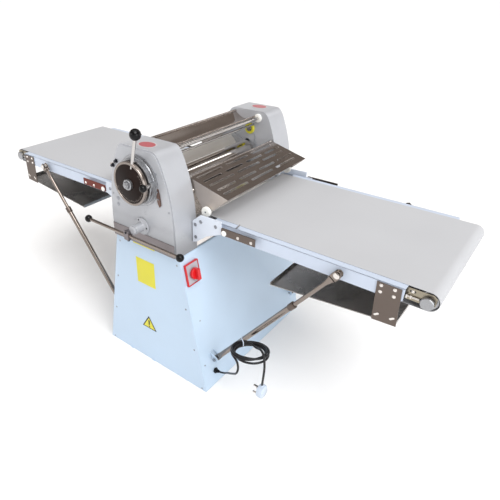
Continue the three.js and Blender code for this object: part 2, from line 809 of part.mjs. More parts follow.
function mainsCord() {
  const group = new THREE.Group();
  const coil = part('cord_coil', solid(cordCoil()), PAINT.black);
  coil.position.set(COIL.x, COIL.y, COIL.z);
  const heading = THREE.MathUtils.degToRad(COIL.leanAxis);
  const leanAxis = new THREE.Vector3(Math.cos(heading), Math.sin(heading), 0);
  coil.quaternion.setFromAxisAngle(leanAxis, -THREE.MathUtils.degToRad(COIL.lean));
  const plug = part('mains_plug', mainsPlug(), PAINT.white);
  plug.position.set(PLUG.x, PLUG.y, PLUG.z);
  group.add(
    part('power_cord', solid(tube(LEAD_ROUTE, CORD.radius, 24)), PAINT.black),
    coil,
    part('cord_tail', solid(tube(TAIL_ROUTE, CORD.radius, 10)), PAINT.black),
    plug,
  );
  return group;
}

const doughSheeter = new THREE.Group();
doughSheeter.add(
  cabinet(),
  switchGroup(),
  glandGroup(),
  heads(),
  rollerBay(),
  controls(),
  conveyorSide('right', 0),
  conveyorSide('left', Math.PI),
  mainsCord(),
);

export default doughSheeter;
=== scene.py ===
"""Dough sheeter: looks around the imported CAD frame.

Lengths are in millimetres and are turned into metres when a piece is made. A piece that is repeated
is drawn for the right-hand, operator's side and mirrored from there.
"""

import math

import bmesh
import bpy
import numpy as np
from mathutils import Matrix, Vector


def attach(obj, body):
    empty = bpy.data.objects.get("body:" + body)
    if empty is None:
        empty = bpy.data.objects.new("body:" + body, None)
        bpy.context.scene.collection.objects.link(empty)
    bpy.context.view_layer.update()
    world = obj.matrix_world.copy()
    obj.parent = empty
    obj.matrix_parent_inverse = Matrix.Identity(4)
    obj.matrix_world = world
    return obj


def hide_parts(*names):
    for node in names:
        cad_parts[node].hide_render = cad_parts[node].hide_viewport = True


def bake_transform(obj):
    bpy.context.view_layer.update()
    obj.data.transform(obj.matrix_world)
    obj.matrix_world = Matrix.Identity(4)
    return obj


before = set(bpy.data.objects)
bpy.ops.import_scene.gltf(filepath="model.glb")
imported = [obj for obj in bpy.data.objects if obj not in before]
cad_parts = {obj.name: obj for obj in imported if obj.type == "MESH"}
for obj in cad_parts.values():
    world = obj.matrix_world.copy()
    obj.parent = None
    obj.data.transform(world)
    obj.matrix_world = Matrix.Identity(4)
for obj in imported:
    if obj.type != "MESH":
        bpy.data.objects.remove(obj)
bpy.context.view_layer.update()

MM = 0.001
SIDES = (("right", 1), ("left", -1))
ENDS = (("near", 1), ("far", -1))
FACE = Vector((0, -1, 0))  # towards the operator
SHARP = math.radians(32)  # edges that turn more than this are sharp

STRUT_FOOT = Vector((284, -302, 133))
STRUT_RUN = Vector((444, 0, 595))
STRUT_AXIS = STRUT_RUN.normalized()
STRUT_LENGTH = math.hypot(STRUT_RUN.x, STRUT_RUN.z)

# The cabinet's side panels lean inwards; OUT stands square on the right one.
PANEL_FOOT_X, PANEL_TOP_X, PANEL_HEIGHT = 290.6, 166.6, 601
LEAN = math.atan((PANEL_FOOT_X - PANEL_TOP_X) / PANEL_HEIGHT)
OUT = Vector((math.cos(LEAN), 0, math.sin(LEAN)))
FRONT_Y = -380.0
HEAD_FACE_Y = -395
HEAD_TOP = 985

# ---- materials


def rgb(hex_colour):
    """Linear colour of an sRGB hex string."""
    parts = [int(hex_colour[i : i + 2], 16) / 255 for i in (0, 2, 4)]
    return [c / 12.92 if c <= 0.04045 else ((c + 0.055) / 1.055) ** 2.4 for c in parts]


def shade(colour, factor):
    """The colour made lighter or darker, with its alpha."""
    return (*[min(1.0, c * factor) for c in colour], 1.0)


def fill(node, values):
    """Sets unlinked inputs of a shader node, and hands the node back."""
    for socket, value in values.items():
        node.inputs[socket].default_value = value
    return node


FINE_SHARE = 0.35
COAT_ROUGHNESS = 0.12


def surface(name, hex_colour, rough, metallic=0.0, tone=0.05, tone_scale=7.0, grain=(1, 1, 1),
            grain_scale=900.0, bump=0.03, bump_mm=0.05, rough_spread=0.08, coat=0.0, ior=1.45):
    """Procedural finish: broad tone drift, fine grain in the bump, roughness that varies with both."""
    mat = bpy.data.materials.new(name)
    mat.use_nodes = True
    nodes, links = mat.node_tree.nodes, mat.node_tree.links
    shader = nodes["Principled BSDF"]
    fill(shader, {"Metallic": metallic, "IOR": ior, "Coat Weight": coat, "Coat Roughness": COAT_ROUGHNESS})
    place = nodes.new("ShaderNodeTexCoord")
    broad = fill(nodes.new("ShaderNodeTexNoise"), {"Scale": tone_scale, "Detail": 5.0})
    links.new(place.outputs["Object"], broad.inputs["Vector"])
    stretch = fill(nodes.new("ShaderNodeMapping"), {"Scale": grain})
    links.new(place.outputs["Object"], stretch.inputs["Vector"])
    fine = fill(nodes.new("ShaderNodeTexNoise"), {"Scale": grain_scale, "Detail": 3.0})
    links.new(stretch.outputs["Vector"], fine.inputs["Vector"])
    both = fill(nodes.new("ShaderNodeMath"), {1: FINE_SHARE})
    both.operation = "MULTIPLY_ADD"
    links.new(fine.outputs["Fac"], both.inputs[0])
    links.new(broad.outputs["Fac"], both.inputs[2])
    ramp = nodes.new("ShaderNodeValToRGB")
    base = rgb(hex_colour)
    dim, lit = ramp.color_ramp.elements
    dim.position, dim.color = 0.45, shade(base, 1 - tone)
    lit.position, lit.color = 0.9, shade(base, 1 + tone)
    links.new(both.outputs["Value"], ramp.inputs["Fac"])
    links.new(ramp.outputs["Color"], shader.inputs["Base Color"])
    spread = fill(nodes.new("ShaderNodeMapRange"), {
        "From Min": 0.4, "From Max": 0.95,
        "To Min": max(0.02, rough - rough_spread), "To Max": rough + rough_spread})
    links.new(both.outputs["Value"], spread.inputs["Value"])
    links.new(spread.outputs["Result"], shader.inputs["Roughness"])
    relief = fill(nodes.new("ShaderNodeBump"), {"Strength": bump, "Distance": bump_mm * MM})
    links.new(fine.outputs["Fac"], relief.inputs["Height"])
    links.new(relief.outputs["Normal"], shader.inputs["Normal"])
    return mat


MAT = {
    "cabinet": surface("cabinet_paint", "b6c9dc", 0.34, tone=0.03, tone_scale=4, bump=0.25, coat=0.2),
    "head": surface("head_paint", "b3b5ba", 0.34, 0.25, tone=0.05, bump=0.3, coat=0.25),
    "rail": surface("rail_paint", "c0cada", 0.36, tone=0.04, bump=0.2, coat=0.2),
    "tray": surface("tray_steel", "b0aca8", 0.28, 1.0, tone=0.12, grain=(14, 1, 1), bump=0.3),
    "kick": surface("kick_strip", "7d7778", 0.28, 1.0, tone=0.15, grain=(20, 1, 1), bump=0.3),
    "polished": surface("polished_steel", "b9b0aa", 0.1, 1.0, tone=0.1, grain=(1, 20, 1), rough_spread=0.05),
    "chrome": surface("chrome", "c6c3c1", 0.07, 1.0, tone=0.04, rough_spread=0.04, bump=0.05),
    "strut": surface("strut_tube", "8d837c", 0.2, 1.0, tone=0.12, grain=(6, 1, 6), bump=0.1),
    "zinc": surface("machined_alloy", "a2a3a6", 0.28, 0.9, tone=0.08, grain=(1, 30, 1), bump=0.3),
    "belt": surface("belt_fabric", "b6b7ba", 0.62, tone=0.03, tone_scale=3, grain_scale=1600, bump=0.5),
    "black": surface("black_phenolic", "08080a", 0.18, tone=0.2, bump=0.05, ior=1.3, coat=0.05),
    "cord": surface("cord_rubber", "0f0f12", 0.42, tone=0.25, bump=0.5, bump_mm=0.1),
    "dial": surface("dial_enamel", "1c110d", 0.34, tone=0.35, tone_scale=18, bump=0.1, ior=1.2),
    "red": surface("red_plastic", "c6171b", 0.3, tone=0.06, bump=0.1, coat=0.15),
    "badge": surface("badge_red", "a8323c", 0.3, tone=0.1, bump=0.1, coat=0.4),
    "grey": surface("grey_plastic", "83878d", 0.45, tone=0.06, bump=0.2),
    "motor": surface("motor_enamel", "55595f", 0.4, 0.3, tone=0.1, bump=0.4),
    "white": surface("white_plastic", "bcc8d8", 0.32, tone=0.03, bump=0.1, coat=0.2),
    "nylon": surface("nylon", "ecebe6", 0.45, tone=0.04, bump=0.2),
    "yellow": surface("yellow_label", "d2ca36", 0.4, tone=0.05, bump=0.05),
    "ink": surface("label_ink", "1b1b1b", 0.5, tone=0.1, bump=0.05),
    "bolt": surface("bolt_zinc", "9b9ea4", 0.3, 1.0, tone=0.15, bump=0.1),
    "guard": surface("guard_steel", "b5ada8", 0.14, 1.0, tone=0.08, grain=(1, 16, 1), bump=0.15,
                     rough_spread=0.05),
    "cheek": surface("cheek_steel", "b9b0a9", 0.4, 1.0, tone=0.08, grain=(14, 1, 1), bump=0.3),
    "end_plate": surface("end_plate_steel", "6c625c", 0.36, 1.0, tone=0.1, grain=(1, 1, 14), bump=0.3),
    "bracket": surface("bracket_steel", "9c9484", 0.28, 1.0, tone=0.08, grain=(14, 1, 1), bump=0.3),
    "blade": surface("blade_steel", "e8e4de", 0.42, 0.3, tone=0.06, grain=(1, 20, 1), bump=0.2),
    "roller": surface("roller_chrome", "cfcac6", 0.1, 1.0, tone=0.05, grain=(1, 30, 1), rough_spread=0.04),
    "stem": surface("strut_rod", "8a8079", 0.16, 1.0, tone=0.1, bump=0.1),
    "bright": surface("bright_bolt", "e2ddd8", 0.24, 1.0, tone=0.08, bump=0.1),
    "dark_bolt": surface("dark_bolt", "3a3b40", 0.3, 1.0, tone=0.15, bump=0.1),
    "dial_rim": surface("dial_rim_steel", "948b85", 0.24, 1.0, tone=0.15, grain=(1, 30, 1), bump=0.2),
    "label_grey": surface("switch_face_grey", "a9a6ad", 0.45, tone=0.05, bump=0.1),
    "badge_plate": surface("badge_plate", "bdb9ba", 0.35, tone=0.04, bump=0.05, coat=0.2),
    "stop": surface("index_stop_steel", "6b5750", 0.3, 0.9, tone=0.2, bump=0.2),
    "hinge": surface("hinge_paint", "d2d9e4", 0.36, tone=0.04, bump=0.2, coat=0.2),
    "floor": surface("floor_paint", "f6f6f6", 0.85, tone=0.01, bump=0.0),
    "reddish": surface("red_strap", "6b2e24", 0.3, 0.6, tone=0.15, grain=(14, 1, 1), bump=0.2),
}

# Places of the colour sockets in a Mix node, whose float sockets have the same names.
MIX_A, MIX_B, MIX_RESULT = 6, 7, 2


def paint_foot_shade(mat, low, high, least):
    """Painted shade at the foot: the base colour darkens to a share of its tone at the height low; it is
    whole from the height high.
    """
    nodes, links = mat.node_tree.nodes, mat.node_tree.links
    shader = nodes["Principled BSDF"]
    paint = shader.inputs["Base Color"].links[0].from_socket
    place = nodes.new("ShaderNodeTexCoord")
    parts = nodes.new("ShaderNodeSeparateXYZ")
    links.new(place.outputs["Object"], parts.inputs["Vector"])
    fade = fill(nodes.new("ShaderNodeMapRange"), {
        "From Min": low * MM, "From Max": high * MM, "To Min": least, "To Max": 1.0})
    fade.interpolation_type = "SMOOTHSTEP"
    links.new(parts.outputs["Z"], fade.inputs["Value"])
    mix = nodes.new("ShaderNodeMix")
    mix.data_type = "RGBA"
    mix.blend_type = "MULTIPLY"
    mix.inputs["Factor"].default_value = 1.0
    links.new(paint, mix.inputs[MIX_A])
    links.new(fade.outputs["Result"], mix.inputs[MIX_B])
    links.new(mix.outputs[MIX_RESULT], shader.inputs["Base Color"])


# Painted shade on the heads: the base colour darkens towards the foot, standing in for the shade and dark
# reflections low down.
paint_foot_shade(MAT["head"], low=612, high=730, least=0.5)

# ---- shapes, in millimetres

# The mesh at hand: shapes are added to it, and piece() turns it into an object and empties it.
drawing = bmesh.new()


def loft(loops, closed=False):
    """Skin over loops of the same number of points, capped or closed to a ring."""
    rings = [[drawing.verts.new(p) for p in loop] for loop in loops]
    pairs = list(zip(rings, rings[1:]))
    if closed:
        pairs.append((rings[-1], rings[0]))
    for a, b in pairs:
        count = len(a)
        for i in range(count):
            j = (i + 1) % count
            drawing.faces.new((a[i], a[j], b[j], b[i]))
    if not closed:
        drawing.faces.new(list(reversed(rings[0])))
        drawing.faces.new(rings[-1])


def axes_for(direction):
    """Two axes across a direction, and the direction."""
    w = Vector(direction).normalized()
    u = w.orthogonal().normalized()
    return u, w.cross(u), w


def lathe(origin, axis, profile, segments=48, closed=False, phase=0.0):
    """Profile of (radius, distance along the axis) turned about the axis. Radius 0 is not used."""
    u, v, w = axes_for(axis)
    origin = Vector(origin)
    turns = [phase + 2 * math.pi * i / segments for i in range(segments)]
    loft([
        [origin + w * along + radius * (u * math.cos(a) + v * math.sin(a)) for a in turns]
        for radius, along in profile
    ], closed)


def rod(a, b, radius, segments=32, chamfer=0.8):
    """Round bar with chamfered ends."""
    run = Vector(b) - Vector(a)
    length = run.length
    c = min(chamfer, radius * 0.4, length * 0.3)
    lathe(a, run, [(radius - c, 0), (radius, c), (radius, length - c), (radius - c, length)], segments)


def knob_ball(centre, axis, radius):
    """Ball grip with a flat ferrule face where its rod enters; the axis points away from the rod."""
    steps = 18
    start = math.radians(28)
    profile = []
    for i in range(steps + 1):
        angle = start + (math.pi - start - 0.02) * i / steps
        profile.append((radius * math.sin(angle), -radius * math.cos(angle)))
    lathe(centre, axis, profile, 40)


def box(xs, ys, zs):
    """Block between two values on each axis."""
    x0, x1 = sorted(xs)
    y0, y1 = sorted(ys)
    z0, z1 = sorted(zs)
    loft([[(x0, y0, z), (x1, y0, z), (x1, y1, z), (x0, y1, z)] for z in (z0, z1)])


def arc(cx, cz, radius, a0, a1, steps=12):
    """Points of an arc, angles in degrees."""
    return [
        (cx + radius * math.cos(math.radians(a0 + (a1 - a0) * i / steps)),
         cz + radius * math.sin(math.radians(a0 + (a1 - a0) * i / steps)))
        for i in range(steps + 1)
    ]


def circle(cx, cz, radius, steps=24):
    return arc(cx, cz, radius, 0, 360, steps)[:-1]


def ellipse(cx, cy, across, deep):
    turns = [a / 24 * math.pi for a in range(48)]
    return [(cx + across * math.cos(t), cy + deep * math.sin(t)) for t in turns]


def bezier(points, steps):
    """Curve from the first control point, which is left out, to the last."""
    n = len(points) - 1
    out = []
    for i in range(1, steps + 1):
        t = i / steps
        shares = [math.comb(n, k) * (1 - t) ** (n - k) * t ** k for k in range(n + 1)]
        out.append(tuple(sum(w * p[axis] for w, p in zip(shares, points)) for axis in (0, 1)))
    return out


def both_ways(profile):
    """Profile of a roller from that of its near half, which has distances below zero."""
    return [*profile, *[(radius, -along) for radius, along in reversed(profile)]]


def slot(c0, c1, radius, steps=8):
    """Round-ended slot between two centres that lie along one axis."""
    (x0, z0), (x1, z1) = c0, c1
    turn = math.degrees(math.atan2(z1 - z0, x1 - x0))
    far_end = arc(x1, z1, radius, turn - 90, turn + 90, steps)
    return far_end + arc(x0, z0, radius, turn + 90, turn + 270, steps)


def prism(outer, span, holes=(), plane="xz"):
    """Flat plate: an outline with holes, given its thickness across the plane."""
    low, high = sorted(span)
    lift = {
        "xz": lambda a, b, c: (a, c, b),
        "yz": lambda a, b, c: (c, a, b),
        "xy": lambda a, b, c: (a, b, c),
    }[plane]
    edges = []
    for ring in (outer, *holes):
        verts = [drawing.verts.new(lift(a, b, low)) for a, b in ring]
        edges += [drawing.edges.new((verts[i - 1], verts[i])) for i in range(len(verts))]
    if holes:
        cap = bmesh.ops.triangle_fill(drawing, edges=edges, use_beauty=True)["geom"]
        faces = [g for g in cap if isinstance(g, bmesh.types.BMFace)]
    else:
        faces = [drawing.faces.new([e.verts[0] for e in edges])]
    grown = bmesh.ops.extrude_face_region(drawing, geom=faces, use_keep_orig=True)["geom"]
    moved = [g for g in grown if isinstance(g, bmesh.types.BMVert)]
    shift = Vector(lift(0, 0, high - low))
    bmesh.ops.translate(drawing, verts=moved, vec=shift)


def sweep(path, radius, segments):
    """Round tube along a path of points."""
    pts = [Vector(p) for p in path]
    side = (pts[1] - pts[0]).orthogonal().normalized()
    turns = [2 * math.pi * k / segments for k in range(segments)]
    loops = []
    for i, p in enumerate(pts):
        ahead = (pts[min(i + 1, len(pts) - 1)] - pts[max(i - 1, 0)]).normalized()
        side = (side - ahead * side.dot(ahead)).normalized()
        other = ahead.cross(side)
        loops.append([p + radius * (side * math.cos(a) + other * math.sin(a)) for a in turns])
    loft(loops)


def smooth_path(points, steps):
    """Catmull-Rom curve through the points."""
    pts = [Vector(p) for p in points]
    ends = [2 * pts[0] - pts[1], *pts, 2 * pts[-1] - pts[-2]]
    out = []
    for i in range(1, len(ends) - 2):
        p0, p1, p2, p3 = ends[i - 1 : i + 3]
        for k in range(steps):
            t = k / steps
            out.append(0.5 * ((2 * p1) + (p2 - p0) * t + (2 * p0 - 5 * p1 + 4 * p2 - p3) * t * t
                              + (3 * p1 - p0 - 3 * p2 + p3) * t ** 3))
    out.append(pts[-1])
    return out


def bolt(at, axis, radius, head, washer=True):
    """Hexagon bolt head, with a washer or without, standing on a face."""
    if washer:
        lathe(at, axis, [(radius * 1.5, 0), (radius * 1.5, 0.9), (radius * 1.35, 1.2)], 20)
    lathe(Vector(at) + Vector(axis).normalized(), axis,
          [(radius, 0), (radius, head * 0.8), (radius * 0.85, head)], 6)


def screw(at, axis, radius):
    """Low domed screw head with a dimple."""
    profile = [(1, 0), (1, 0.5), (0.75, 1.3), (0.35, 1.5), (0.28, 0.9)]
    lathe(at, axis, [(radius * share, height) for share, height in profile], 14)


# ---- pieces


def round_edges(obj, bevel, segments=2):
    """Fine rounding of every sharp edge."""
    edge = obj.modifiers.new("edge", "BEVEL")
    edge.width = bevel * MM
    edge.segments = segments
    edge.limit_method = "ANGLE"
    edge.angle_limit = SHARP
    edge.harden_normals = True
    return edge


def piece(name, material, body, replaces=(), mirror=(1, 1), bevel=0.0, segments=2):
    """Turns the drawing into a named piece, in metres, that rides on a body."""
    sx, sy = mirror
    bmesh.ops.transform(drawing, matrix=Matrix.Diagonal((sx * MM, sy * MM, MM, 1)), verts=drawing.verts)
    bmesh.ops.recalc_face_normals(drawing, faces=drawing.faces)
    mesh = bpy.data.meshes.new(name)
    drawing.to_mesh(mesh)
    drawing.clear()
    mesh.shade_smooth()
    mesh.set_sharp_from_angle(angle=SHARP)
    mesh.materials.append(MAT[material])
    obj = bpy.data.objects.new(name, mesh)
    bpy.context.scene.collection.objects.link(obj)
    if bevel:
        round_edges(obj, bevel, segments).use_clamp_overlap = True
    if body:
        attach(obj, body)
    if replaces:
        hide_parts(*replaces)
    return obj


def dress(node, material, bevel=0.0):
    """Gives a CAD node its material, and fine rounded edges if its bends are sharp."""
    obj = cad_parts[node]
    obj.data.materials.clear()
    obj.data.materials.append(MAT[material])
    if bevel:
        weld = obj.modifiers.new("weld", "WELD")
        weld.merge_threshold = 1e-5
        round_edges(obj, bevel)


# ---- camera, light and floor


FLOOR_HALF = 80000


def camera():
    """The photograph's view: an off-centre crop, so the lens is shifted."""
    cam = bpy.data.cameras.new("view")
    cam.sensor_width = 36.0
    cam.lens = 33.18
    cam.shift_x = 0.0846
    cam.shift_y = 0.0268
    cam.clip_end = 50
    obj = bpy.data.objects.new("view", cam)
    obj.location = (1.1373, -1.4270, 1.4728)
    obj.rotation_euler = (math.radians(90 - 31.93), 0, math.radians(38.69))
    bpy.context.scene.collection.objects.link(obj)
    bpy.context.scene.camera = obj


def area_light(name, at, target, size, power, tint):
    light = bpy.data.lights.new(name, "AREA")
    light.shape = "RECTANGLE"
    light.size, light.size_y = size
    light.energy = power
    light.color = tint
    obj = bpy.data.objects.new(name, light)
    obj.location = at
    obj.rotation_euler = (Vector(target) - Vector(at)).to_track_quat("-Z", "Y").to_euler()
    bpy.context.scene.collection.objects.link(obj)


def studio():
    """Soft lights, a sky whose bands show in the polished steel, and a white floor."""
    area_light("overhead", (0.4, -0.3, 3.2), (0, 0, 0.6), (3.2, 2.2), 10, (1.0, 0.99, 0.97))
    area_light("front", (-1.6, -3.2, 2.0), (0, -0.2, 0.6), (2.0, 1.6), 16, (0.97, 0.98, 1.0))
    area_light("side", (3.4, -1.2, 1.5), (0.2, 0, 0.6), (1.8, 1.4), 26, (0.93, 0.97, 1.0))
    area_light("far_strip", (1.7, 4.2, 3.9), (0, 0, 0.8), (0.5, 1.8), 11, (1.0, 0.99, 0.98))
    sky = bpy.data.lights.new("sky", "SUN")
    sky.energy = 2.3
    sky.angle = math.radians(40)
    sun = bpy.data.objects.new("sky", sky)
    sun.rotation_euler = Vector((-0.7, 0.35, -1)).to_track_quat("-Z", "Y").to_euler()
    bpy.context.scene.collection.objects.link(sun)
    world = bpy.data.worlds.new("studio")
    world.use_nodes = True
    nodes, links = world.node_tree.nodes, world.node_tree.links
    place = nodes.new("ShaderNodeTexCoord")
    parts = nodes.new("ShaderNodeSeparateXYZ")
    ramp = nodes.new("ShaderNodeValToRGB")
    bands = ramp.color_ramp.elements
    bands[0].position, bands[0].color = 0.6, (1.0, 1.0, 1.0, 1)
    bands[1].position, bands[1].color = 0.97, (1.0, 1.0, 1.0, 1)
    for at, tone in ((0.66, (0.42, 0.39, 0.37, 1)), (0.71, (0.22, 0.19, 0.17, 1)),
                     (0.83, (0.26, 0.23, 0.21, 1)), (0.91, (0.75, 0.74, 0.73, 1))):
        bands.new(at).color = tone
    half = fill(nodes.new("ShaderNodeMath"), {1: 0.5, 2: 0.5})
    half.operation = "MULTIPLY_ADD"
    links.new(place.outputs["Generated"], parts.inputs["Vector"])
    links.new(parts.outputs["Z"], half.inputs[0])
    links.new(half.outputs["Value"], ramp.inputs["Fac"])
    links.new(ramp.outputs["Color"], nodes["Background"].inputs["Color"])
    nodes["Background"].inputs["Strength"].default_value = 1.0
    bpy.context.scene.world = world
    box((-FLOOR_HALF, FLOOR_HALF), (-FLOOR_HALF, FLOOR_HALF), (-12, -0.5))
    floor = piece("floor", "floor", None)


bpy.context.scene.view_settings.view_transform = "Standard"
camera()
studio()

# ---- mains cord

COIL_CENTRE = Vector((491, -380, 346))
COIL_LEAN = math.radians(14)
COIL_HEADING = math.radians(38.7)
ALONG = Vector((math.cos(COIL_HEADING), math.sin(COIL_HEADING), 0))
LEVEL = Vector((math.sin(COIL_HEADING), -math.cos(COIL_HEADING), 0))
COIL_START, COIL_END, COIL_STEP = 172.0, 234.0 + 4 * 360, 12.0
# Radius and height of each turn; the last is given twice, so that it stays as it is.
TURNS = [(66, -6.8), (56, -4.5), (60.5, 3), (68.6, 1.5), (66, 9.5), (66, 9.5)]
CORD_RADIUS = 4.0
CORD_GAP = 0.1
CORD_SPACING = 4.0
GLAND = Vector((278.2, -304, 61))


def beside(a, b, z):
    """Point given from the middle of the coil: across it, towards the operator, and up."""
    return COIL_CENTRE + ALONG * a + LEVEL * b + Vector((0, 0, z))


# From the gland up to the coil, and from the coil down to the plug.
LEAD = [
    GLAND + OUT * 24, GLAND + OUT * 30, (320.5, -305.3, 72.4), (335, -311, 85), beside(-71, -110, -218),
    beside(-65, -70, -180), beside(-60.5, -34, -145), beside(-57, -4, -115), beside(-54, 20, -91),
    beside(-51, 40, -71.5), beside(-47.5, 50, -57.5), beside(-44.3, 54, -43), beside(-42.8, 51.8, -28.5),
    beside(-44.5, 44.5, -16.5), beside(-49.5, 35.5, -8.5), beside(-56.5, 26.5, -5.2), beside(-62, 17.5, -4.6),
]
TAIL = [
    (0, -56.5, -7.8), (10.5, -49, -10.3), (18.5, -37, -10.3), (24, -19, -4), (28.5, -2, 9.2),
    (32.5, 15.6, 22.6), (36, 28, 29.4), (39, 39, 31), (41.5, 55, 27.4), (43, 68.1, 17.4),
    (43.5, 75.7, 2.8), (43.5, 77, -10.3), (43, 75.5, -42), (42.3, 70.5, -75), (42, 67.6, -95),
    (42, 67, -102.5),
]


def on_coil(angle, radius, height):
    """Point of the leaning coil. Angle 90 is the raised side and 270 the low one."""
    raised = LEVEL * math.cos(COIL_LEAN) + Vector((0, 0, math.sin(COIL_LEAN)))
    a = math.radians(angle)
    return COIL_CENTRE + radius * (ALONG * math.cos(a) + raised * math.sin(a)) + height * raised.cross(ALONG)


def coil_turns():
    """Turns that lie beside and on each other, with the lowest one hanging loose at the raised side."""
    pts = []
    for i in range(int((COIL_END - COIL_START) / COIL_STEP) + 1):
        angle = COIL_START + COIL_STEP * i
        turn = (angle - COIL_START) / 360
        k = min(int(turn), len(TURNS) - 2)
        (radius, height), (next_radius, next_height) = TURNS[k : k + 2]
        ease = min(1.0, max(0.0, (turn - k - 0.55) / 0.45))
        ease = ease * ease * (3 - 2 * ease)
        radius += (next_radius - radius) * ease
        height += (next_height - height) * ease
        if k == 0:
            loose = max(0.0, math.sin(math.radians(angle))) ** 1.3
            radius += 4.5 * loose
            height -= 7.5 * loose
        wave = 0.9 * math.sin(2.1 * math.radians(angle) + k)
        pts.append(on_coil(angle, radius + wave, height))
    return pts


def settle(route):
    """Evens a route out, eases its bends and pushes its turns a diameter apart."""
    raw = np.array([tuple(p) for p in route])
    run = np.concatenate([[0], np.cumsum(np.linalg.norm(np.diff(raw, axis=0), axis=1))])
    count = int(run[-1] / CORD_SPACING) + 1
    even = np.linspace(0, run[-1], count)
    home = np.stack([np.interp(even, run, raw[:, k]) for k in range(3)], axis=1)
    pts = home.copy()
    index = np.arange(count)
    apart = np.abs(index[:, None] - index[None, :]) > 5
    reach = 2 * CORD_RADIUS + CORD_GAP
    for _ in range(90):
        pts[2:-2] += 0.45 * ((pts[1:-3] + pts[3:-1]) / 2 - pts[2:-2])
        gap = pts[:, None, :] - pts[None, :, :]
        distance = np.linalg.norm(gap, axis=2) + 1e-9
        close = apart & (distance < reach)
        push = np.where(close, (reach - distance) / distance * 0.25, 0.0)
        shift = (gap * push[:, :, None]).sum(axis=1)
        shift[:3] = 0
        shift[-3:] = 0
        pts += shift + 0.03 * (home - pts)
    return [Vector(p) for p in pts]


def mains_cord():
    """Cord from the gland through the coil to the plug, with what hangs on it."""
    lead = smooth_path(LEAD, 4)
    coil = coil_turns()
    easing = [on_coil(246, 65, 9.3), on_coil(258, 61.5, 8.5)]
    tail = smooth_path([coil[-1], *easing, *[beside(*p) for p in TAIL]], 4)
    path = settle([*lead, *coil, *tail[1:]])
    sweep(path, CORD_RADIUS, 14)
    cord = piece("mains_cord", "cord", None)
    on_it = [*plug_pieces(), gland_piece()]
    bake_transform(cord)
    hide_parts("power_cord", "cord_coil", "cord_tail")
    tie_pieces()


def plug_pieces():
    """White moulded plug that hangs with its pins to the left."""
    at = Vector((566, -406, 217))
    section = [(9, 25.4), (15, 23), (20.5, 14), (22.5, 2), (22, -9), (17, -19), (9, -25.5), (-9, -25.5),
               (-17, -19), (-22, -9), (-22.5, 2), (-20.5, 14), (-15, 23), (-9, 25.4)]
    loft([[at + Vector((x, y * grow, z * grow)) for y, z in section]
              for x, grow in ((-12, 0.86), (-10.5, 0.97), (-6, 1.0), (5, 1.0), (10, 0.95), (12, 0.8))])
    plug = piece("plug_body", "white", "right_near_tube_body", ["mains_plug"],
                 bevel=1.2)
    for y, z, reach, half in ((0, 10, 34, 4), (-11, -10, 30, 3.1), (11, -10, 30, 3.1)):
        box((at.x - reach, at.x - 11), (at.y + y - half, at.y + y + half), (at.z + z - 2, at.z + z + 2))
    pins = piece("plug_pins", "bright", "right_near_tube_body", bevel=0.5)
    lathe(at + Vector((0, 0, 21)), (0, 0, 1),
          [(8.5, 0), (8, 2), (6.4, 5), (6.6, 6.2), (5.4, 7), (5.6, 8.4), (4.4, 9.5)], 24)
    boot = piece("plug_boot", "white", "right_near_tube_body")
    return [plug, pins, boot]


def gland_piece():
    """Hexagon gland with a ribbed, tapered strain relief."""
    lathe(GLAND + OUT * 0.3, OUT, [(12.5, 0), (12.5, 7), (11, 8)], 6)
    ribs = [(9.4, 7.5)]
    for i in range(5):
        base = 9 + i * 2.9
        radius = 8.6 - i * 0.75
        ribs += [(radius, base), (radius, base + 1.5), (radius - 0.9, base + 1.8), (radius - 0.9, base + 2.6)]
    lathe(GLAND, OUT, [*ribs, (4.6, 23.4)], 28)
    return piece("strain_relief", "black", "root", ["cable_gland"])


def tie_pieces():
    """Light tie round the turns, and the one that hangs it on the strut."""
    at_angle, radius, height = 246, 62.5, 1
    middle = on_coil(at_angle, radius, height)
    onward = (on_coil(at_angle + 6, radius, height) - middle).normalized() * 1.6
    loops = []
    for i in range(28):
        t = 2 * math.pi * i / 28
        p = on_coil(at_angle, radius + 13.5 * math.cos(t), height + 15.5 * math.sin(t))
        out = (p - middle).normalized() * 0.5
        loops.append([p - onward - out, p + onward - out, p + onward + out, p - onward + out])
    loft(loops, closed=True)
    piece("coil_tie", "white", "right_near_tube_body")
    strut_at = Vector((414, -302, 307))
    hook = on_coil(at_angle, 74, 10)
    lathe(strut_at - STRUT_AXIS * 2, STRUT_AXIS, [(10.9, 0), (12, 0), (12, 4), (10.9, 4)], 28,
          closed=True)
    start = strut_at + Vector((4, -11.4, 0))
    sweep(smooth_path([start, (start + hook) / 2 + Vector((0, -2, -3)), hook], 5), 1.2, 8)
    piece("strut_tie", "white", "right_near_tube_body")


mains_cord()

# ---- cabinet


def panel_x(z):
    """Half width of the cabinet at a height; its side panels lean inwards."""
    return PANEL_FOOT_X - (PANEL_FOOT_X - PANEL_TOP_X) / PANEL_HEIGHT * (z - 1)


def decal(name, outlines, low, high, material, bevel=0.0):
    """Thin printed layer on the front panel, given by its two heights above the panel."""
    for outline in outlines:
        prism(outline, (FRONT_Y - low, FRONT_Y - high))
    piece(name, material, "root", bevel=bevel)


